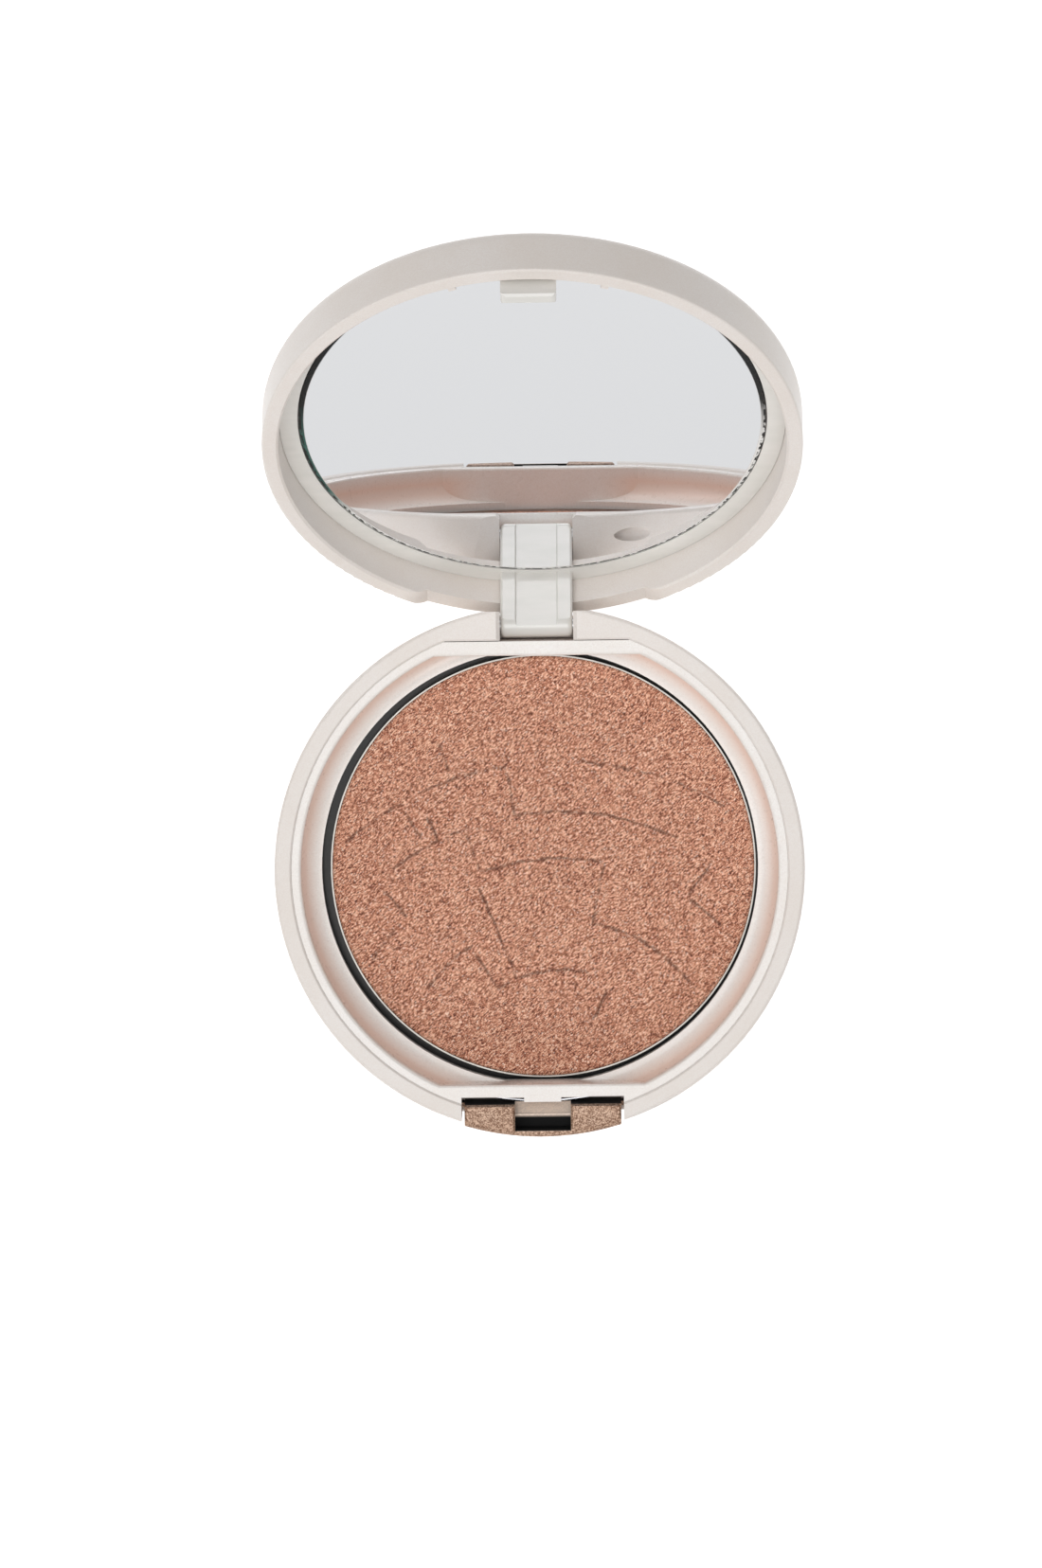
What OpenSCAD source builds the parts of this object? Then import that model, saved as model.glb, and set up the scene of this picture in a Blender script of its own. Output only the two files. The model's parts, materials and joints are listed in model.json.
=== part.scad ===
// Round powder compact, shown open: a base with a pan of pressed powder, a mirrored lid on
// one hinge pin, and a sprung push button that frees the lid's hook.
// Millimetres. The origin is the centre of the base's underside, +Z is up, the hinge is
// towards +Y and the button towards -Y. The lid is drawn shut and then turned open.

/* [Body] */
// Radius of the shut compact at the rim
body_r = 36.5; // [36.3:0.1:37]
// Height of the base, from its underside to its rim
base_h = 12.0; // [11.8:0.1:13]
// Height of the lid, from its rim to its top
lid_h = 7.8; // [7.8:0.1:8.4]
// Thickness of the base's floor
floor_t = 1.4; // [1.2:0.1:1.5]
// Gap between the two rims when the lid is shut
shut_gap = 0.1; // [0.05:0.05:0.2]

/* [Well and pan] */
// Radius of the hole that the pan sits in
hole_r = 30.1; // [30:0.05:30.2]
// Distance from the centre to the two flat walls of the well
flat_y = 29.65; // [29.6:0.05:29.8]
// Depth of the tray's top face below the rim
tray_drop = 0.25; // [0.2:0.05:0.5]
// Outer radius of the powder pan
pan_r = 29.35; // [29.1:0.05:29.4]
// Height of the powder pan
pan_h = 3.3; // [3:0.1:3.5]
// Distance that the loose pan has slid to +X in its hole
pan_shift = 0.45; // [0:0.05:0.5]

/* [Hinge] */
// Angle that the lid is open
open_deg = 133.6; // [0:0.1:133.6]
// Distance of the hinge pin behind the centre
pin_y = 33.6; // [33.5:0.05:33.7]
// Depth of the hinge pin below the base's rim
pin_drop = 3.0; // [2.9:0.05:3.1]
// Radius of the hinge pin
pin_r = 0.95; // [0.8:0.05:0.95]
// Radius of the knuckle that turns on the pin
knuckle_r = 1.6; // [1.5:0.05:1.65]
// Width of the notch between the base's two hinge ears
notch_w = 10.1; // [9.9:0.1:10.6]
// Side play of the tongue in that notch, on each side
tongue_play = 0.1; // [0.05:0.05:0.15]

/* [Latch] */
// Width of the opening for the push button
recess_w = 22.4; // [21.8:0.1:22.8]
// Side play of the button in that opening, on each side
button_play = 0.4; // [0.1:0.1:0.5]
// Height of the sill under the button
sill_h = 4.4; // [4:0.1:4.6]
// Distance that the button stands out of the base's wall
button_proud = 0.5; // [0.2:0.1:0.8]
// Distance that the button travels
button_travel = 0.8; // [0.4:0.1:0.8]
// Width of the lid's hook
hook_w = 7.4; // [6.8:0.1:7.4]

/* [Mirror] */
// Radius of the mirror
mirror_r = 31.6; // [31:0.1:31.6]
// Depth of the mirror's face inside the lid's rim
mirror_in = 5.0; // [4.8:0.05:5.1]

/* [Hidden] */
$fn = 96;

eps = 0.01;              // how far a cut runs past a face
rim_z = base_h;
lid_z = rim_z + shut_gap;
pin_z = rim_z - pin_drop;
tray_z = rim_z - tray_drop;

edge_r = 0.45;           // rounding of the base's rim
corner_r = 2.6;          // rounding of the base's bottom edge
draft = 0.9;             // how far the base's wall leans in towards its foot
wall_r = 34.15;          // inside of the base's wall
tray_r = wall_r - 0.02;
chord_y = 31.75;         // front of the solid block that holds the hinge
rim_bevel = tray_drop;
bore_r = pin_r + 0.05;   // pin's bore in the ears
knuckle_bore_r = pin_r + 0.07;
pin_from_x = -10.4;
pin_to_x = 9.6;
notch_bevel = 0.5;
stop_y = 35.8;           // flat behind the ears that the open lid clears
stop_w = 18;
stop_slope = 1.2 / 7.9;
label_r = 22;
label_play = 0.2;
label_t = 0.15;

well_arc_r = 2.75;       // rounded side of the well, in section
well_arc_z = rim_z - 2.55;
well_lip_r = hole_r + well_arc_r;
lip_round = 0.4;
tray_floor_z = floor_t + 0.8;
glue_r = 20;
glue_t = 0.2;
pan_z = tray_floor_z + glue_t;
pan_wall = 0.2;
cake_gap = 0.25;         // powder's face below the pan's edge

recess_y = 31.35;        // back wall of the latch recess
button_r = body_r + button_proud;
button_half = recess_w / 2 - button_play;
button_back = 32.4;
button_z = rim_z - 0.15;
button_bottom = sill_h + 0.1;
button_bevel = 0.3;
button_brow = 0.75;      // rounding of the button's front edge
window_half = 3.85;
window_front = 36.1;
window_floor = sill_h + 2.0;
wedge_back = 32.3;       // the ramp in the window, from its low back edge to its nose
wedge_front = 34.5;
wedge_low_z = rim_z - 3.2;
wedge_high_z = rim_z - 2.4;
wedge_nose = 0.4;
lug_tip = 32.05;
lug_half = 2.55;
lug_t = 0.8;
wing_tip = button_back - button_travel - 0.1;
wing_x = 4.1;
wing_w = 3.1;
wing_t = 0.3;
wing_drop = 0.7;
ear_reach = 0.9;         // the button's side ears, which keep it in its opening
ear_front = 33.0;
ear_low_z = sill_h + 1.2;
ear_high_z = rim_z - 3.1;
ear_play = 0.1;
ear_play_z = 0.2;
spring_bow_r = 38;       // the leaf spring behind the button
spring_y = 32.26;
spring_t = 0.15;
spring_w = 15.6;
spring_z = sill_h + 2.2;
spring_h = 2.4;

lid_wall_r = 34.3;
lid_edge_r = 0.3;
lid_top_r = 2.4;
rear_cut = 1.25;         // the lid's rim is cut back this far behind the ears
rear_cut_half = 15;
rear_ease = 3;           // how far past its ends the cut eases back out to the rim
rib_angle = 17.4;        // from the hook, round the lid's rim
rib_w = 1;
ring_in = mirror_in + 0.25;
lid_ceiling = ring_in + 1.2;
ring_r = lid_wall_r - 0.04;
glass_t = 1.2;
glass_bevel = 0.35;      // ground bevel round the mirror's face
glass_bevel_w = 0.7;
mirror_play = 0.15;
mirror_glue_r = 28;
tongue_half = notch_w / 2 - tongue_play;
tongue_back = 33.8;
tongue_round = 0.7;
channel_half = 2.95;
channel_deep = 0.35;
hook_out = 33.95;
hook_t = 1.5;
hook_nose = 32.15;
hook_drop = 2.2;         // how far the hook reaches past the lid's rim
hook_round = 0.8;

ivory = [0.87, 0.84, 0.81];
champagne = [0.78, 0.64, 0.54];

// Lays a flat outline drawn in (y, z) along X, over the width w centred on x.
module along_x(w, x = 0) {
    translate([x - w / 2, 0, 0])
        rotate([90, 0, 90])
            linear_extrude(w) children();
}

// Lays a flat outline drawn in (x, z) along Y, from y0 to y1.
module along_y(y0, y1) {
    translate([0, y1, 0])
        rotate([90, 0, 0])
            linear_extrude(y1 - y0) children();
}

// Everything from y0 to y1, within w of X and from z0 to z1.
module slab(w, y0, y1, z0, z1) {
    translate([-w / 2, y0, z0]) cube([w, y1 - y0, z1 - z0]);
}

// What has to go to round off the corner at the origin, whose solid lies towards +x, -y.
module corner_round(r) {
    difference() {
        translate([-eps, -r]) square([r + eps, r + eps]);
        translate([r, -r]) circle(r);
    }
}

// Turns what is drawn in the shut lid to where it is when the lid is open.
module opened() {
    translate([0, pin_y, pin_z])
        rotate([-open_deg, 0, 0])
            translate([0, -pin_y, -pin_z]) children();
}

module base_outline() {
    foot_r = body_r - draft - corner_r;
    square([foot_r, corner_r]);
    intersection() {
        translate([foot_r, corner_r]) circle(corner_r);
        square([body_r, corner_r]);
    }
    polygon([
        [0, corner_r], [body_r - draft, corner_r], [body_r, rim_z - edge_r],
        [body_r - edge_r, rim_z - edge_r], [body_r - edge_r, rim_z], [0, rim_z]
    ]);
    translate([body_r - edge_r, rim_z - edge_r]) circle(edge_r);
}

// The hollow of the base: round, with the hinge block left standing behind chord_y.
module base_hollow() {
    intersection() {
        union() {
            translate([0, 0, floor_t]) cylinder(r = wall_r, h = base_h);
            translate([0, 0, rim_z - rim_bevel])
                cylinder(r1 = wall_r, r2 = wall_r + rim_bevel + eps, h = rim_bevel + eps);
        }
        along_x(3 * body_r) polygon([
            [-2 * body_r, 0], [chord_y, 0], [chord_y, rim_z - rim_bevel],
            [chord_y + rim_bevel + eps, rim_z + eps], [-2 * body_r, rim_z + eps]
        ]);
    }
}

// Open at the top and the back, and falling away so that the open lid's rim clears it.
module hinge_notch() {
    along_x(notch_w) polygon([
        [chord_y - 0.2, rim_z + 1], [chord_y - 0.2, pin_z - 1.9], [33, pin_z - 3.0],
        [34.2, pin_z - 5.4], [36, pin_z - 8.1], [38, pin_z - 10], [38, rim_z + 1]
    ]);
    for (side = [-1, 1])
        along_y(chord_y - 0.2, body_r + 1) polygon([
            [side * (notch_w / 2 - 1), rim_z - notch_bevel],
            [side * notch_w / 2, rim_z - notch_bevel],
            [side * (notch_w / 2 + notch_bevel + eps), rim_z + eps],
            [side * (notch_w / 2 - 1), rim_z + eps]
        ]);
}

module stop_flat() {
    along_x(stop_w) polygon([
        [stop_y + stop_slope, rim_z + 1], [stop_y - stop_slope * (rim_z + 1), -1],
        [body_r + 2, -1], [body_r + 2, rim_z + 1]
    ]);
}

// The grooves beside the recess that the button's ears slide in.
module ear_groove() {
    groove_half = button_half + ear_reach + ear_play;
    groove_back = button_back - button_travel - 0.4;
    slab(
        2 * groove_half, -ear_front - ear_play, -groove_back,
        ear_low_z - ear_play_z, ear_high_z + ear_play_z
    );
}

module base_shell() {
    color(ivory) difference() {
        union() {
            difference() {
                rotate_extrude() base_outline();
                base_hollow();
            }
            slab(recess_w, -wall_r, -recess_y, floor_t - eps, sill_h);
        }
        slab(recess_w, -body_r - 2, -recess_y + 0.1, sill_h, rim_z + 1);
        ear_groove();
        hinge_notch();
        stop_flat();
        translate([pin_from_x - 0.3, pin_y, pin_z])
            rotate([0, 90, 0]) cylinder(r = bore_r, h = 30);
        translate([0, 0, -eps]) cylinder(r = label_r + label_play, h = label_t + eps);
    }
}

module well_section() {
    difference() {
        polygon([
            [0, floor_t], [tray_r, floor_t], [tray_r, tray_z], [hole_r, tray_z],
            [hole_r, tray_floor_z], [0, tray_floor_z]
        ]);
        translate([hole_r, well_arc_z]) circle(well_arc_r);
        translate([0, well_arc_z]) square([well_lip_r, base_h]);
        translate([well_lip_r, tray_z]) corner_round(lip_round);
        polygon([
            [hole_r + 1.2, floor_t - eps], [tray_r - 1, floor_t - eps],
            [tray_r - 1, rim_z - 4.6], [hole_r + 1.2, rim_z - 6.7]
        ]);
    }
}

// The solid behind each straight wall of the well.
module well_flat() {
    intersection() {
        translate([0, 0, floor_t]) cylinder(r = tray_r, h = tray_z - floor_t);
        along_x(2 * body_r) difference() {
            translate([flat_y, floor_t]) square([5, tray_z - floor_t]);
            translate([flat_y, tray_z]) corner_round(lip_round);
        }
    }
}

// The catch that the lid's hook goes under, with a thin wing each side of it.
module catch_lug() {
    slab(2 * lug_half, -lug_tip, -recess_y + eps, tray_z - lug_t, tray_z);
    for (side = [-1, 1])
        translate([side * wing_x, 0, rim_z - wing_drop])
            slab(wing_w, -wing_tip, -recess_y + eps, -wing_t, 0);
}

module pan_tray() {
    color(ivory) {
        difference() {
            union() {
                rotate_extrude() well_section();
                well_flat();
                rotate([0, 0, 180]) well_flat();
            }
            slab(3 * body_r, chord_y - 0.1, body_r, 0, rim_z + 1);
            slab(recess_w, -body_r, -recess_y, 0, rim_z + 1);
            ear_groove();
        }
        catch_lug();
    }
}

module pan_adhesive() {
    color("gainsboro")
        translate([pan_shift, 0, tray_floor_z]) cylinder(r = glue_r, h = glue_t);
}

module powder_pan() {
    color("silver")
        translate([pan_shift, 0, pan_z]) difference() {
            cylinder(r = pan_r, h = pan_h);
            translate([0, 0, pan_wall]) cylinder(r = pan_r - pan_wall, h = pan_h);
        }
}

module powder_cake() {
    color([0.70, 0.47, 0.38])
        translate([pan_shift, 0, pan_z + pan_wall])
            cylinder(r = pan_r - pan_wall, h = pan_h - pan_wall - cake_gap);
}

module base_label() {
    color("whitesmoke") cylinder(r = label_r, h = label_t);
}

module hinge_pin() {
    bevel = 0.2;
    length = pin_to_x - pin_from_x;
    color("silver")
        translate([pin_from_x, pin_y, pin_z]) rotate([0, 90, 0]) {
            cylinder(r1 = pin_r - bevel, r2 = pin_r, h = bevel);
            translate([0, 0, bevel]) cylinder(r = pin_r, h = length - 2 * bevel);
            translate([0, 0, length - bevel])
                cylinder(r1 = pin_r, r2 = pin_r - bevel, h = bevel);
        }
}

// The button's front, turned about the compact's own axis, with a rounded brow.
module button_section() {
    brow_z = button_z - button_brow - 0.25;
    square([button_r - button_brow - 0.1, button_z]);
    polygon([
        [0, button_bottom], [button_r - 0.5, button_bottom], [button_r, button_bottom + 0.6],
        [button_r, brow_z], [0, brow_z]
    ]);
    translate([button_r - button_brow, brow_z]) circle(button_brow);
}

// The block that the button is cut from, with its top edges bevelled.
module button_block() {
    bevel_z = button_z - button_bevel;
    intersection() {
        rotate_extrude() button_section();
        along_x(3 * button_half) polygon([
            [-body_r - 4, button_bottom], [-button_back, button_bottom],
            [-button_back, bevel_z], [-button_back - button_bevel, button_z],
            [-body_r - 4, button_z]
        ]);
        along_y(-body_r - 4, -30) polygon([
            [-button_half, button_bottom], [button_half, button_bottom],
            [button_half, bevel_z], [button_half - button_bevel, button_z],
            [button_bevel - button_half, button_z], [-button_half, bevel_z]
        ]);
    }
}

// The window that the hook drops into, bevelled at its top and lower across its front.
module button_window() {
    bevel_z = button_z - button_bevel;
    slab(2 * window_half, -window_front, -30, window_floor, rim_z);
    along_y(-window_front, -30) polygon([
        [-window_half, bevel_z], [window_half, bevel_z],
        [window_half + button_bevel + eps, button_z + eps],
        [-window_half - button_bevel - eps, button_z + eps]
    ]);
    slab(2 * window_half, -body_r - 4, -30, bevel_z, rim_z);
}

module push_button() {
    color(champagne) {
        difference() {
            button_block();
            button_window();
        }
        opening_wedge();
        for (side = [-1, 1])
            translate([side * (button_half + ear_reach / 2 - eps), 0, 0])
                slab(ear_reach, -ear_front, -button_back, ear_low_z, ear_high_z);
    }
}

// The ramp in the window that comes in under the lid's hook as the button is pressed.
module opening_wedge() {
    nose_y = wedge_nose - wedge_front;
    nose_z = wedge_high_z - wedge_nose;
    along_x(2 * window_half) {
        polygon([
            [-wedge_front, window_floor - 0.1], [-wedge_back, window_floor - 0.1],
            [-wedge_back, wedge_low_z], [nose_y, wedge_high_z],
            [nose_y, nose_z], [-wedge_front, nose_z]
        ]);
        translate([nose_y, nose_z]) circle(wedge_nose);
    }
}

// A thin leaf, bowed between the recess's back wall and the back of the button.
module button_spring() {
    color("silver") intersection() {
        translate([0, spring_bow_r - spring_y, spring_z]) difference() {
            cylinder(r = spring_bow_r, h = spring_h, $fn = 240);
            translate([0, 0, -1])
                cylinder(r = spring_bow_r - spring_t, h = spring_h + 2, $fn = 240);
        }
        slab(spring_w, -button_back, -recess_y, spring_z - 1, spring_z + spring_h + 1);
    }
}

module lid_section() {
    top = lid_z + lid_h;
    difference() {
        union() {
            translate([0, lid_z + lid_edge_r])
                square([body_r, lid_h - lid_edge_r - lid_top_r]);
            translate([0, lid_z]) square([body_r - lid_edge_r, lid_h - lid_top_r]);
            translate([body_r - lid_edge_r, lid_z + lid_edge_r]) circle(lid_edge_r);
            square([body_r - lid_top_r, top]);
            translate([body_r - lid_top_r, top - lid_top_r]) circle(lid_top_r);
        }
        square([lid_wall_r, lid_z + lid_ceiling]);
        polygon([
            [0, 0], [lid_wall_r + 0.3 + eps, 0], [lid_wall_r + 0.3 + eps, lid_z - eps],
            [lid_wall_r, lid_z + 0.3], [0, lid_z + 0.3]
        ]);
        square([body_r, lid_z]);
    }
}

// The rim is lower behind the ears, and each end of the cut eases out in a rounded corner.
module rear_rim_cut() {
    ease_r = (rear_ease * rear_ease + rear_cut * rear_cut) / (2 * rear_cut);
    along_y(20, body_r + 2) {
        translate([-rear_cut_half, lid_z - 1]) square([2 * rear_cut_half, rear_cut + 1]);
        for (side = [-1, 1]) difference() {
            translate([side > 0 ? rear_cut_half - eps : -rear_cut_half - rear_ease, lid_z - eps])
                square([rear_ease + eps, rear_cut + eps]);
            translate([side * (rear_cut_half + rear_ease), lid_z + ease_r]) circle(ease_r);
        }
    }
}

// Small ribs just inside the rim, each side of the hook, that steady the shut lid.
module rim_ribs() {
    for (side = [-1, 1])
        rotate([0, 0, side * rib_angle])
            translate([-rib_w / 2, -lid_wall_r - 0.4, lid_z + 0.5])
                cube([rib_w, 1.2, ring_in - 0.6]);
}

module lid_shell() {
    color(ivory) opened() {
        difference() {
            rotate_extrude() lid_section();
            rear_rim_cut();
        }
        rim_ribs();
    }
}

module tongue() {
    knuckle_front = pin_y - knuckle_r;
    difference() {
        union() {
            translate([-tongue_half, pin_y, pin_z]) rotate([0, 90, 0]) rotate_extrude() {
                square([knuckle_r - tongue_round, 2 * tongue_half]);
                translate([0, tongue_round])
                    square([knuckle_r, 2 * (tongue_half - tongue_round)]);
                for (y = [tongue_round, 2 * tongue_half - tongue_round])
                    translate([knuckle_r - tongue_round, y]) circle(tongue_round);
            }
            translate([0, 0, pin_z]) linear_extrude(lid_z + lid_ceiling - pin_z) polygon([
                [-tongue_half, knuckle_front + 0.3], [-tongue_half + 0.3, knuckle_front],
                [tongue_half - 0.3, knuckle_front], [tongue_half, knuckle_front + 0.3],
                [tongue_half, tongue_back], [-tongue_half, tongue_back]
            ]);
        }
        translate([0, 0, pin_z - 3]) linear_extrude(lid_z + ring_in - pin_z + 3) polygon([
            [-channel_half, knuckle_front - 1], [-channel_half, knuckle_front],
            [-channel_half + 0.2, knuckle_front + channel_deep],
            [channel_half - 0.2, knuckle_front + channel_deep],
            [channel_half, knuckle_front], [channel_half, knuckle_front - 1]
        ]);
    }
}

// A hanging leg with a nose at its tip that faces the hinge.
module hook() {
    tip = lid_z - hook_drop;
    intersection() {
        along_x(hook_w) polygon([
            [-hook_out, tip + 0.3], [-hook_out + 0.3, tip], [-hook_nose - 0.3, tip],
            [-hook_nose, tip + 0.3], [-hook_nose, tip + 0.6],
            [-hook_out + hook_t, tip + 0.85], [-hook_out + hook_t, lid_z + ring_in + 0.5],
            [-hook_out, lid_z + ring_in + 0.5]
        ]);
        along_y(-36, -30) {
            translate([-hook_w / 2, tip + hook_round]) square([hook_w, 10]);
            translate([-hook_w / 2 + hook_round, tip]) square([hook_w - 2 * hook_round, 10]);
            for (side = [-1, 1])
                translate([side * (hook_w / 2 - hook_round), tip + hook_round])
                    circle(hook_round);
        }
    }
}

module mirror_frame() {
    color(ivory) opened() {
        difference() {
            union() {
                translate([0, 0, lid_z + ring_in]) cylinder(r = ring_r, h = lid_ceiling - ring_in);
                tongue();
            }
            translate([0, 0, lid_z + ring_in - 1]) cylinder(r = mirror_r + mirror_play, h = 5);
            translate([-20, pin_y, pin_z]) rotate([0, 90, 0])
                cylinder(r = knuckle_bore_r, h = 40);
        }
        hook();
    }
}

module mirror_adhesive() {
    color("gainsboro") opened()
        translate([0, 0, lid_z + mirror_in + glass_t])
            cylinder(r = mirror_glue_r, h = lid_ceiling - mirror_in - glass_t);
}

module mirror_glass() {
    color("lightgray") opened() translate([0, 0, lid_z + mirror_in]) {
        cylinder(r1 = mirror_r - glass_bevel_w, r2 = mirror_r, h = glass_bevel);
        translate([0, 0, glass_bevel]) cylinder(r = mirror_r, h = glass_t - glass_bevel);
    }
}

base_shell();
pan_tray();
pan_adhesive();
powder_pan();
powder_cake();
base_label();
hinge_pin();
push_button();
button_spring();
lid_shell();
mirror_frame();
mirror_adhesive();
mirror_glass();
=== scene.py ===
import json
import math
import bpy
import numpy as np
from mathutils import Matrix, Vector


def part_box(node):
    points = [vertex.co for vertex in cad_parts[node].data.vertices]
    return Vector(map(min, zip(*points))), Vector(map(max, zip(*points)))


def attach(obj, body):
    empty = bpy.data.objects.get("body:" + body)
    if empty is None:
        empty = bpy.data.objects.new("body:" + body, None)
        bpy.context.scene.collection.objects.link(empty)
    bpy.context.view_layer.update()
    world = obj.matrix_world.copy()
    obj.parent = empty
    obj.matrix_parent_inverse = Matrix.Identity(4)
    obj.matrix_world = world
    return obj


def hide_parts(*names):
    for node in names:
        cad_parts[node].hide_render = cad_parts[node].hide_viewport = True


# The looks of a round powder compact. Metres throughout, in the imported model's own frame:
# the base stands on z = 0, the hinge is towards +Y and the push button towards -Y.

MM = 0.001

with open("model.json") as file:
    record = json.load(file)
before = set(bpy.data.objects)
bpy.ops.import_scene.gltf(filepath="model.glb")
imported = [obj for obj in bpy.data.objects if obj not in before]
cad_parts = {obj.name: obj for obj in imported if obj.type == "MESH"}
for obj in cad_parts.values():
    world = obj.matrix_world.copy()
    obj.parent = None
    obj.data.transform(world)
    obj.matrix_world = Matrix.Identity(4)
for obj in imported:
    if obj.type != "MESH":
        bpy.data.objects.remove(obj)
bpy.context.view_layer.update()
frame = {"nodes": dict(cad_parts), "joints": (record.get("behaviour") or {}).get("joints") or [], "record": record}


def srgb(red, green, blue):
    """A colour given 0 to 255 a channel, as linear RGBA."""
    def linear(value):
        value /= 255
        return value / 12.92 if value <= 0.04045 else ((value + 0.055) / 1.055) ** 2.4
    return (linear(red), linear(green), linear(blue), 1.0)


# ---------------------------------------------------------------- shader helper

class Surface:
    """A Principled material, with short calls that add nodes and link them."""

    def __init__(self, name, **sockets):
        self.material = bpy.data.materials.new(name)
        self.material.use_nodes = True
        self.tree = self.material.node_tree
        self.bsdf = self.tree.nodes["Principled BSDF"]
        for socket, value in sockets.items():
            self.bsdf.inputs[socket.replace("_", " ")].default_value = value
        coordinates = self.tree.nodes.new("ShaderNodeTexCoord")
        self.place = coordinates.outputs["Object"]
        self.normal = coordinates.outputs["Normal"]

    def put(self, socket, value):
        """Links or sets an input, whichever value is."""
        if isinstance(value, bpy.types.NodeSocket):
            self.tree.links.new(value, socket)
        else:
            socket.default_value = value

    def feed(self, name, value):
        self.put(self.bsdf.inputs[name], value)

    def math(self, operation, first, second=0.0):
        step = self.tree.nodes.new("ShaderNodeMath")
        step.operation = operation
        self.put(step.inputs[0], first)
        self.put(step.inputs[1], second)
        return step.outputs[0]

    def vector(self, operation, first, second):
        step = self.tree.nodes.new("ShaderNodeVectorMath")
        step.operation = operation
        self.put(step.inputs[0], first)
        self.put(step.inputs[1], second)
        return step.outputs["Value" if operation == "DOT_PRODUCT" else "Vector"]

    def parts(self, vector):
        """The X, Y and Z of a vector."""
        step = self.tree.nodes.new("ShaderNodeSeparateXYZ")
        self.put(step.inputs[0], vector)
        return step.outputs

    def length(self, vector):
        return self.math("SQRT", self.vector("DOT_PRODUCT", vector, vector))

    def stretched(self, sizes, turn=0.0):
        """Object coordinates turned about Z, then divided by a size along each axis."""
        mapping = self.tree.nodes.new("ShaderNodeMapping")
        mapping.inputs["Rotation"].default_value = (0.0, 0.0, turn)
        self.put(mapping.inputs["Vector"], self.place)
        return self.vector("DIVIDE", mapping.outputs[0], sizes)

    def noise(self, size, detail=2.0, at=None):
        """Noise from 0 to 1 whose lumps are about size wide."""
        step = self.tree.nodes.new("ShaderNodeTexNoise")
        self.put(step.inputs["Vector"], at or self.place)
        step.inputs["Scale"].default_value = 1 / size
        step.inputs["Detail"].default_value = detail
        return step.outputs[0]

    def cells(self, size):
        """A random number from 0 to 1 for each cell about size wide."""
        step = self.tree.nodes.new("ShaderNodeTexVoronoi")
        self.put(step.inputs["Vector"], self.place)
        step.inputs["Scale"].default_value = 1 / size
        split = self.tree.nodes.new("ShaderNodeSeparateColor")
        self.put(split.inputs[0], step.outputs["Color"])
        return split.outputs[0]

    def spread(self, value, low, high, to_low=0.0, to_high=1.0):
        """Maps value from low..high to to_low..to_high, and holds it there past the ends."""
        step = self.tree.nodes.new("ShaderNodeMapRange")
        self.put(step.inputs["Value"], value)
        step.inputs["From Min"].default_value = low
        step.inputs["From Max"].default_value = high
        step.inputs["To Min"].default_value = to_low
        step.inputs["To Max"].default_value = to_high
        return step.outputs[0]

    def mix(self, share, first, second):
        """The colour first, turning to second as share goes from 0 to 1."""
        step = self.tree.nodes.new("ShaderNodeMix")
        step.data_type = "RGBA"
        sockets = {socket.identifier: socket for socket in step.inputs}
        self.put(sockets["Factor_Float"], share)
        self.put(sockets["A_Color"], first)
        self.put(sockets["B_Color"], second)
        return {socket.identifier: socket for socket in step.outputs}["Result_Color"]

    def bump(self, height, distance):
        """Feeds a relief, distance metres from 0 to 1, into the shader's normal."""
        step = self.tree.nodes.new("ShaderNodeBump")
        step.inputs["Distance"].default_value = distance
        self.put(step.inputs["Height"], height)
        self.feed("Normal", step.outputs[0])


# ---------------------------------------------------------------- materials

# Where a look starts and where it is complete, in metres along one direction of the model.
# Painted light: a warm tint on the tray's rounded side stands in for light bounced from the powder.
BOUNCE_OUTWARD = (30.8 * MM, 32.5 * MM)
BOUNCE_DOWNWARD = (11.2 * MM, 9.6 * MM)
# Painted shade in the gap round the pan, darker towards the bottom.
GAP_SHADE_DOWNWARD = (5.7 * MM, 4.9 * MM)
WINDOW_INWARD = (3.92 * MM, 3.86 * MM)
WINDOW_BACKWARD = (-36.18 * MM, -36.11 * MM)
WINDOW_DOWNWARD = (11.60 * MM, 11.50 * MM)
RAMP_BACKWARD = (-34.55 * MM, -34.2 * MM)
BEVEL_INWARD = (0.02 * MM, 0.04 * MM)
CHIPS_INWARD = (0.16 * MM, 0.19 * MM)

BOUNCE_MOST = 0.6
GAP_SHADE_UNEVEN = 0.5 * MM
# How far painted light turns the paint in the button's window paler.
RAMP_PAINTED_LIGHT = 0.7
BARE_ROUGHNESS = 0.85
BEVEL_ROUGHNESS = 0.45
CLOTH_TURN = -math.radians(40)
STREAK_SHARE = 0.65


def ivory_tone(look, low=(237, 229, 222), high=(241, 235, 230)):
    """Pearl ivory: a faint cloudiness and fine darker flakes."""
    cloud = look.spread(look.noise(9 * MM, 3), 0.3, 0.7)
    tone = look.mix(cloud, srgb(*low), srgb(*high))
    flakes = look.spread(look.cells(0.14 * MM), 0.0, 1.0, 0.0, 0.3)
    return look.mix(flakes, tone, srgb(225, 211, 201))


def ivory_plastic():
    """The shells: satin pearl ivory with a light moulded texture."""
    look = Surface("ivory_plastic", IOR=1.48, Coat_Weight=0.25, Coat_Roughness=0.2)
    look.feed("Base Color", ivory_tone(look))
    look.feed("Roughness", look.spread(look.noise(0.6 * MM, 4), 0.3, 0.7, 0.34, 0.46))
    look.bump(look.noise(0.12 * MM, 3), 0.006 * MM)
    return look.material


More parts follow.
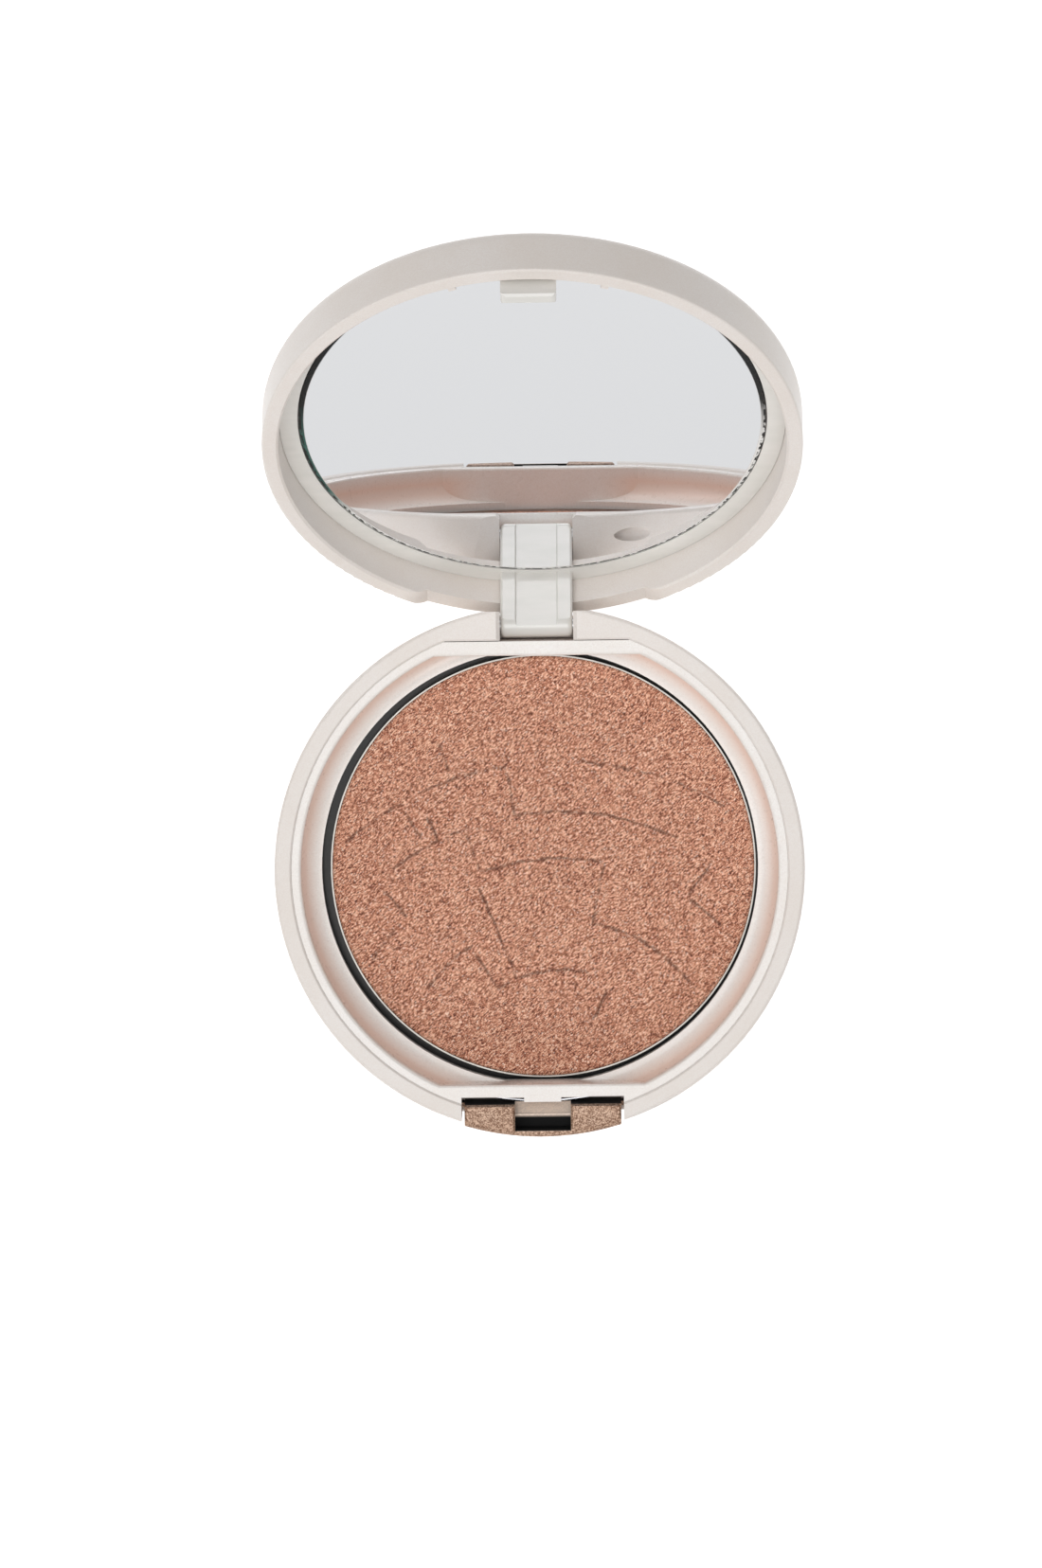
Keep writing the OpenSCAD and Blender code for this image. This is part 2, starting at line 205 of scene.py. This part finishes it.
def tray_plastic():
    """The pan's tray: smoother, with painted warm light bounced from the powder on its rounded side
    and painted shade, darker towards the bottom, in the gap round the pan."""
    look = Surface("tray_plastic", IOR=1.48, Coat_Weight=0.4, Coat_Roughness=0.16)
    height = look.parts(look.place)[2]
    radius = look.length(look.vector("MULTIPLY", look.place, (1.0, 1.0, 0.0)))
    # painted warm light bounced from the powder, on the lower, outer part of the rounded side
    outward = look.spread(radius, *BOUNCE_OUTWARD, 0.0, BOUNCE_MOST)
    powder_bounce = look.math("MULTIPLY", outward, look.spread(height, *BOUNCE_DOWNWARD))
    plain_tone = ivory_tone(look, (245, 239, 233), (249, 245, 241))
    tone = look.mix(powder_bounce, plain_tone, srgb(246, 206, 184))
    # painted shade in the gap round the pan, darkest low down, with an uneven edge
    uneven = look.spread(look.noise(0.7 * MM, 3), 0.3, 0.7, 0.0, GAP_SHADE_UNEVEN)
    gap_shade = look.spread(look.math("ADD", height, uneven), *GAP_SHADE_DOWNWARD)
    look.feed("Base Color", look.mix(gap_shade, tone, srgb(34, 28, 24)))
    gap_roughness = look.spread(gap_shade, 0.0, 1.0, 0.26, 0.75)
    texture = look.spread(look.noise(0.6 * MM, 4), 0.3, 0.7, 0.0, 0.08)
    look.feed("Roughness", look.math("ADD", gap_roughness, texture))
    look.bump(look.noise(0.3 * MM, 3), 0.004 * MM)
    return look.material


def frame_plastic():
    """The lid's inner frame: unsprayed milky plastic, glossy, with faint flow marks."""
    look = Surface("frame_plastic", IOR=1.5, Coat_Weight=0.5, Coat_Roughness=0.08)
    flow = look.noise(1.0, 3, look.stretched((6 * MM, 1.4 * MM, 2 * MM)))
    milky = look.mix(look.spread(flow, 0.3, 0.7), srgb(228, 226, 220), srgb(235, 232, 227))
    look.feed("Base Color", milky)
    look.feed("Roughness", look.spread(flow, 0.3, 0.7, 0.16, 0.24))
    look.bump(look.noise(0.8 * MM, 3), 0.01 * MM)
    return look.material


def champagne_finish():
    """Champagne metallic sprayed on black plastic: coarse sparkle in a satin coat. The spray
    stops at the back of the button and in its window, except on the ramp's upper face, which painted light makes
    paler."""
    look = Surface("champagne_finish", Coat_Weight=0.06, Coat_Roughness=0.3)
    x, y, z = look.parts(look.place)
    _, face_y, face_z = look.parts(look.normal)
    flakes = look.cells(0.16 * MM)
    cloud = look.spread(look.noise(1.5 * MM, 3), 0.3, 0.7)
    tone = look.mix(cloud, srgb(198, 162, 136), srgb(214, 182, 158))
    thick = look.mix(look.spread(flakes, 0.1, 0.8, 0.0, 0.9), tone, srgb(120, 82, 58))
    across = look.spread(look.math("ABSOLUTE", x), *WINDOW_INWARD)
    behind_lip = look.spread(y, *WINDOW_BACKWARD)
    below_top = look.spread(z, *WINDOW_DOWNWARD)
    window = look.math("MULTIPLY", look.math("MULTIPLY", across, behind_lip), below_top)
    # painted light: the paint in the window is turned paler, so the ramp's upper face reads lighter
    paint = look.mix(look.math("MULTIPLY", window, RAMP_PAINTED_LIGHT), thick, srgb(255, 238, 222))
    upward = look.spread(face_z, 0.2, 0.5)
    sprayed = look.math("MULTIPLY", look.spread(y, *RAMP_BACKWARD), upward)
    in_window = look.math("MULTIPLY", window, look.math("SUBTRACT", 1.0, sprayed))
    bare = look.math("MAXIMUM", in_window, look.spread(face_y, 0.6, 0.8))
    look.feed("Base Color", look.mix(bare, paint, srgb(12, 11, 11)))
    look.feed("Metallic", look.spread(bare, 0.0, 1.0, 0.3, 0.0))
    satin = look.spread(flakes, 0.0, 1.0, 0.36, 0.55)
    look.feed("Roughness", look.math("MAXIMUM", satin, look.math("MULTIPLY", bare, BARE_ROUGHNESS)))
    look.bump(look.noise(0.10 * MM, 2), 0.008 * MM)
    return look.material


def pan_metal():
    """Thin drawn tinplate, with fine draw lines round its wall."""
    look = Surface("pan_metal", Metallic=1.0)
    lines = look.noise(1.0, 3, look.stretched((2 * MM, 2 * MM, 0.06 * MM)))
    look.feed("Base Color", look.mix(lines, srgb(140, 136, 130), srgb(172, 168, 163)))
    look.feed("Roughness", look.spread(lines, 0.3, 0.7, 0.26, 0.4))
    look.bump(lines, 0.004 * MM)
    return look.material


def drawn_steel(name, line_sizes, tone_low, tone_high):
    """Steel whose drawing lines have these sizes along X, Y and Z."""
    look = Surface(name, Metallic=1.0)
    lines = look.noise(1.0, 3, look.stretched(line_sizes))
    look.feed("Base Color", look.mix(lines, tone_low, tone_high))
    look.feed("Roughness", look.spread(lines, 0.3, 0.7, 0.2, 0.38))
    look.bump(lines, 0.003 * MM)
    return look.material


def foam_pad():
    """Closed-cell foam tape."""
    look = Surface("adhesive", Roughness=0.85)
    pores = look.cells(0.25 * MM)
    look.feed("Base Color", look.mix(pores, srgb(205, 205, 200), srgb(228, 228, 224)))
    look.bump(look.noise(0.2 * MM, 3), 0.03 * MM)
    return look.material


def label_paper():
    """A blank satin label with faint fibres."""
    look = Surface("label_paper", Roughness=0.5)
    fibres = look.noise(1.0, 4, look.stretched((0.9 * MM, 0.12 * MM, 1 * MM), 0.5))
    look.feed("Base Color", look.mix(fibres, srgb(238, 236, 231), srgb(246, 245, 242)))
    look.bump(fibres, 0.006 * MM)
    return look.material


def silvered_mirror():
    """A flat silvered face. Round it, the ground bevel and the bare glass outside it carry light
    and shade painted by position: white at the bottom, dark green up the left side and near black
    in the upper half. Small dark chips break its outline."""
    look = Surface("mirror")
    places = np.array([corner.co for corner in frame["nodes"]["mirror_glass"].data.vertices])
    up = places @ np.array(MIRROR_UP)
    face_height = (places @ np.array(MIRROR_FACING)).max()
    radius = np.ptp(places[:, 0]) / 2
    middle_x = places[:, 0].min() + radius
    middle_up = (up.min() + up.max()) / 2
    centre = Vector((middle_x, 0, 0)) + MIRROR_UP * middle_up + MIRROR_FACING * face_height
    from_centre = look.vector("SUBTRACT", look.place, centre)
    sunk = look.math("MULTIPLY", look.vector("DOT_PRODUCT", from_centre, MIRROR_FACING), -1.0)
    ground = look.spread(sunk, *BEVEL_INWARD)
    rise = look.vector("DOT_PRODUCT", from_centre, MIRROR_UP)
    across = look.parts(from_centre)[0]
    left = look.spread(across, 0.2 * radius, -0.2 * radius)
    # painted light and shade on the glass edge: white low down, dark green up the left side, near black in the
    # upper half
    green = look.math("MULTIPLY", look.spread(rise, -0.6 * radius, -0.45 * radius), left)
    edge_light = look.mix(green, srgb(246, 246, 244), srgb(58, 104, 96))
    edge_light_and_shade = look.mix(look.spread(rise, -0.12 * radius, 0.12 * radius), edge_light, srgb(20, 26, 28))
    chips = look.spread(look.noise(0.6 * MM, 3), 0.45, 0.5)
    chip_band = look.spread(sunk, *CHIPS_INWARD)
    chipped = look.mix(look.math("MULTIPLY", chips, chip_band), edge_light_and_shade, srgb(26, 24, 26))
    look.feed("Base Color", look.mix(ground, srgb(247, 248, 250), chipped))
    look.feed("Metallic", look.spread(ground, 0.0, 1.0, 1.0, 0.0))
    smears = look.spread(look.noise(6 * MM, 3), 0.4, 0.8, 0.0, 0.02)
    look.feed("Roughness", look.math("ADD", smears, look.math("MULTIPLY", ground, BEVEL_ROUGHNESS)))
    look.bump(look.math("MULTIPLY", look.noise(0.2 * MM, 3), ground), 0.03 * MM)
    return look.material


def pressed_powder():
    """Pressed shimmer powder: a diagonal cloth grain, loose bright grains and painted shade in the grooves."""
    look = Surface("pressed_powder", Sheen_Weight=0.1, Sheen_Roughness=0.6)
    streaks = look.noise(1.0, 2, look.stretched((0.42 * MM, 0.11 * MM, 1 * MM), CLOTH_TURN))
    weave = look.noise(1.0, 1, look.stretched((0.13 * MM, 0.22 * MM, 1 * MM), CLOTH_TURN))
    blotches = look.noise(2.4 * MM, 4)
    strong = look.math("MULTIPLY", streaks, STREAK_SHARE)
    weak = look.math("MULTIPLY", weave, 1.0 - STREAK_SHARE)
    grain = look.math("ADD", strong, weak)
    dark = look.mix(look.spread(grain, 0.40, 0.51), srgb(84, 34, 18), srgb(208, 130, 97))
    tone = look.mix(look.spread(grain, 0.51, 0.61), dark, srgb(255, 212, 182))
    cloud = look.spread(blotches, 0.35, 0.75, 0.0, 0.16)
    clouded = look.mix(cloud, tone, srgb(214, 154, 124))
    sparkle = look.spread(look.cells(0.16 * MM), 0.94, 0.97)
    bright = look.mix(look.math("MULTIPLY", sparkle, 0.7), clouded, srgb(255, 226, 206))
    groove = look.tree.nodes.new("ShaderNodeAttribute")
    groove.attribute_name = "groove"
    # painted shade in the pressed grooves, darkest where a groove is deepest
    shade = look.spread(groove.outputs["Fac"], 0.08, 0.8, 0.0, 0.68)
    look.feed("Base Color", look.mix(shade, bright, srgb(84, 42, 28)))
    look.feed("Metallic", look.math("MULTIPLY", sparkle, 0.4))
    look.feed("Roughness", look.spread(sparkle, 0.0, 1.0, 0.7, 0.4))
    look.bump(grain, 0.05 * MM)
    return look.material


def pale_floor():
    """Matte pale paper that glows, as on a light table: most near the object, less beyond."""
    look = Surface("pale_floor", Roughness=0.9, Emission_Color=(1.0, 1.0, 1.0, 1.0))
    fibre = look.noise(1.2 * MM, 3)
    look.feed("Base Color", look.mix(fibre, srgb(188, 188, 188), srgb(192, 192, 192)))
    x, y, _ = look.parts(look.place)
    raised = []
    for side, reach in ((x, GLOW_REACH_X), (look.math("SUBTRACT", y, GLOW_Y), GLOW_REACH_Y)):
        share = look.math("DIVIDE", look.math("ABSOLUTE", side), reach)
        raised.append(look.math("POWER", share, GLOW_SQUARENESS))
    outward = look.math("POWER", look.math("ADD", *raised), 1 / GLOW_SQUARENESS)
    glow = look.spread(outward, GLOW_NEAR, GLOW_FAR, GLOW_HIGH, GLOW_LOW)
    look.feed("Emission Strength", glow)
    return look.material


# ---------------------------------------------------------------- pressed powder

# The pressed pattern is courses of curved bricks about one point near the pan's front edge.
# Sizes are in millimetres from the pan's centre, and angles in degrees clockwise from +Y.
PRESS_CENTRE = (2.0, -30.0)
ARCS = {
    44.5: [(-41, -29), (-25, -9), (4, 19), (22, 31)],
    37.5: [(-38, -26), (-23, -19), (-9, 26)],
    31.0: [(-56, -46), (-20, 11), (36, 50)],
    22.5: [(-54, -32), (13, 54)],
    15.5: [(-33, -27), (-22, 16)],
}
JOINTS = [
    (-19, 46.0, 49.5), (-9, 37.5, 44.5), (-29, 39.0, 43.0), (-26, 37.5, 41.0),
    (-42, 31.5, 36.0), (-20, 31.0, 37.5), (35, 31.5, 37.0),
    (-22, 15.5, 29.0), (12, 22.5, 30.5), (-33, 16.0, 21.0), (28, 9.0, 14.0),
]
GROOVE_HALF_MM = 0.2
GROOVE_DEEP_MM = 0.12
GROOVE_WANDER_MM = 0.16
GROOVE_LEAST = 0.2
FINE_LUMPS_MM = 0.010
BROAD_LUMPS_MM = 0.012
EDGE_FALL_MM = 0.12
EDGE_WIDTH_MM = 0.25
TOP_SUNK_MM = 0.03
POWDER_SEED = 7
GRID = 300


def grooves(x, y):
    """How deep the pressed pattern is at each point, from 0 to 1."""
    across = x - PRESS_CENTRE[0]
    up = y - PRESS_CENTRE[1]
    radius = np.hypot(across, up)
    angle = np.degrees(np.arctan2(across, up))
    deep = np.zeros_like(x)
    for arc_radius, spans in ARCS.items():
        for start, end in spans:
            past = np.maximum(np.maximum(start - angle, angle - end), 0) * np.radians(1) * radius
            away = np.hypot(radius - arc_radius, past)
            deep = np.maximum(deep, np.exp(-(away / GROOVE_HALF_MM) ** 2))
    for joint_angle, inner, outer in JOINTS:
        side = (angle - joint_angle) * np.radians(1) * radius
        past = np.maximum(np.maximum(inner - radius, radius - outer), 0)
        away = np.hypot(side, past)
        deep = np.maximum(deep, np.exp(-(away / GROOVE_HALF_MM) ** 2))
    return deep


def smooth_random(random, shape, passes):
    """Seeded noise blurred over its neighbours, from about -1 to 1."""
    field = random.standard_normal(shape)
    for _ in range(passes):
        for axis in (0, 1):
            field = (np.roll(field, 1, axis) + 2 * field + np.roll(field, -1, axis)) / 4
    return field / field.std() / 2


def powder_piece():
    """The powder as one closed solid: an even grid over its round top, with the pressed
    pattern and the unevenness in the mesh, then its wall and its underside."""
    low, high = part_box("powder_cake")
    centre = (low + high) / 2
    radius = (high.x - low.x) / 2
    steps = np.linspace(-1, 1, GRID + 1)
    a, b = np.meshgrid(steps, steps, indexing="ij")
    wide = np.abs(a) > np.abs(b)
    ring = np.where(wide, a, b)
    safe = np.where(ring == 0, 1, ring)
    turn = np.where(wide, np.pi / 4 * b / safe, np.pi / 2 - np.pi / 4 * a / safe)
    x = ring * np.cos(turn) * radius
    y = ring * np.sin(turn) * radius
    random = np.random.default_rng(POWDER_SEED)
    wander = [GROOVE_WANDER_MM * smooth_random(random, x.shape, 6) for _ in range(2)]
    deep = grooves(x / MM + wander[0], y / MM + wander[1])
    broken = np.clip(0.8 + 0.55 * smooth_random(random, x.shape, 8), GROOVE_LEAST, 1.0)
    deep = deep * broken
    fine = FINE_LUMPS_MM * smooth_random(random, x.shape, 1)
    lumps = fine + BROAD_LUMPS_MM * smooth_random(random, x.shape, 40)
    edge_fall = EDGE_FALL_MM * np.exp(-((radius - np.hypot(x, y)) / MM / EDGE_WIDTH_MM) ** 2)
    top = high.z + (lumps - TOP_SUNK_MM - GROOVE_DEEP_MM * deep - edge_fall) * MM
    count = GRID + 1
    points = np.stack([x + centre.x, y + centre.y, top], axis=-1).reshape(-1, 3)
    index = np.arange(count * count).reshape(count, count)
    quads = np.stack([index[:-1, :-1], index[1:, :-1], index[1:, 1:], index[:-1, 1:]], axis=-1)
    rim = np.concatenate([index[:-1, 0], index[-1, :-1], index[:0:-1, -1], index[0, :0:-1]])
    foot = points[rim].copy()
    foot[:, 2] = low.z
    foot_index = len(points) + np.arange(len(rim))
    wall = np.stack([rim, foot_index, np.roll(foot_index, -1), np.roll(rim, -1)], axis=-1)
    faces = quads.reshape(-1, 4).tolist() + wall.tolist() + [foot_index[::-1].tolist()]
    mesh = bpy.data.meshes.new("pressed_powder_cake")
    mesh.from_pydata(np.vstack([points, foot]).tolist(), [], faces)
    shade = mesh.attributes.new("groove", "FLOAT", "POINT")
    shade.data.foreach_set("value", np.concatenate([deep.ravel(), np.zeros(len(rim))]))
    mesh.shade_smooth()
    mesh.validate()
    piece = bpy.data.objects.new("pressed_powder_cake", mesh)
    bpy.context.scene.collection.objects.link(piece)
    return piece


# ---------------------------------------------------------------- stage, lights and camera

# The glow covers a rounded square about x = 0 and y = GLOW_Y. NEAR and FAR are shares of its
# reach, where the glow starts and ends its fall from HIGH to LOW.
GLOW_Y = 0.015
GLOW_REACH_X = 0.1
GLOW_REACH_Y = 0.112
GLOW_NEAR = 1.02
GLOW_FAR = 1.3
GLOW_HIGH = 0.8
GLOW_LOW = 0.3
GLOW_SQUARENESS = 4.0
FLOOR_HALF = 2.5
FLOOR_BELOW = 0.02 * MM

WORLD_STRENGTH = 0.37
LIGHT_AIM = (0.0, 0.02, 0.01)
# The place, the size and the watts of each softbox.
SOFTBOXES = {
    "overhead": ((-0.2, 0.05, 1.5), (1.0, 1.0), 8.5),
    "side": ((-1.1, -0.3, 0.8), (0.8, 0.8), 2.0),
    "front": ((0.2, -1.2, 0.8), (0.8, 0.6), 4.0),
}

CAMERA_PLACE = Vector((13.9, 127.1, 1273.6)) * MM
CAMERA_PAN = math.radians(0.74)
CAMERA_TILT = math.radians(-5.212)
CAMERA_ROLL = math.radians(-0.778)
CAMERA_LENS_MM = 211.7
CAMERA_SENSOR_MM = 36.0


def add_floor():
    mesh = bpy.data.meshes.new("floor")
    around = ((-1, -1), (1, -1), (1, 1), (-1, 1))
    corners = [(x * FLOOR_HALF, y * FLOOR_HALF, -FLOOR_BELOW) for x, y in around]
    mesh.from_pydata(corners, [], [(0, 1, 2, 3)])
    mesh.materials.append(pale_floor())
    floor = bpy.data.objects.new("floor", mesh)
    bpy.context.scene.collection.objects.link(floor)


def add_softbox(name, place, size, watts):
    light = bpy.data.lights.new(name, "AREA")
    light.shape = "RECTANGLE"
    light.size, light.size_y = size
    light.energy = watts
    lamp = bpy.data.objects.new(name, light)
    lamp.location = place
    towards = Vector(LIGHT_AIM) - Vector(place)
    lamp.rotation_euler = towards.to_track_quat("-Z", "Y").to_euler()
    bpy.context.scene.collection.objects.link(lamp)


def add_world(strength):
    world = bpy.data.worlds.new("studio")
    world.use_nodes = True
    background = world.node_tree.nodes["Background"]
    background.inputs["Color"].default_value = (1.0, 1.0, 1.0, 1.0)
    background.inputs["Strength"].default_value = strength
    bpy.context.scene.world = world


def add_camera():
    """Looks down from just behind the hinge, at the angle that shows the open lid."""
    data = bpy.data.cameras.new("camera")
    data.sensor_fit = "VERTICAL"
    data.sensor_height = CAMERA_SENSOR_MM
    data.lens = CAMERA_LENS_MM
    data.clip_start = 0.05
    data.clip_end = 20.0
    camera = bpy.data.objects.new("camera", data)
    facing = Matrix.Rotation(CAMERA_PAN, 4, "Y") @ Matrix.Rotation(CAMERA_TILT, 4, "X")
    roll = Matrix.Rotation(CAMERA_ROLL, 4, "Z")
    camera.matrix_world = Matrix.Translation(CAMERA_PLACE) @ facing @ roll
    bpy.context.scene.collection.objects.link(camera)
    bpy.context.scene.camera = camera


# ---------------------------------------------------------------- the scene

lid_hinge = next(joint for joint in frame["joints"] if joint["name"] == "lid_hinge")
open_angle = math.radians(lid_hinge["range_deg"][1])
MIRROR_FACING = Vector((0, -math.sin(open_angle), -math.cos(open_angle)))
MIRROR_UP = Vector((0, -math.cos(open_angle), math.sin(open_angle)))

bpy.context.scene.view_settings.view_transform = "Standard"
add_camera()
add_world(WORLD_STRENGTH)
for box_name, setting in SOFTBOXES.items():
    add_softbox(box_name, *setting)
add_floor()

finishes = {
    "ivory_plastic": ivory_plastic(),
    "tray_plastic": tray_plastic(),
    "frame_plastic": frame_plastic(),
    "adhesive": foam_pad(),
    "pan_metal": pan_metal(),
    "pressed_powder": pressed_powder(),
    "label_paper": label_paper(),
    "pin_steel": drawn_steel("pin_steel", (3 * MM, 0.05 * MM, 0.05 * MM),
                             srgb(180, 180, 182), srgb(205, 205, 207)),
    "champagne_finish": champagne_finish(),
    "spring_steel": drawn_steel("spring_steel", (3 * MM, 3 * MM, 0.04 * MM),
                                srgb(176, 176, 180), srgb(200, 200, 204)),
    "mirror": silvered_mirror(),
}
for part in frame["record"]["subparts"]:
    node = frame["nodes"][part["node"]]
    node.data.materials.clear()
    node.data.materials.append(finishes[part["material_slot"]])

powder = powder_piece()
powder.data.materials.append(finishes["pressed_powder"])
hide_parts("powder_cake")
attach(powder, "base")
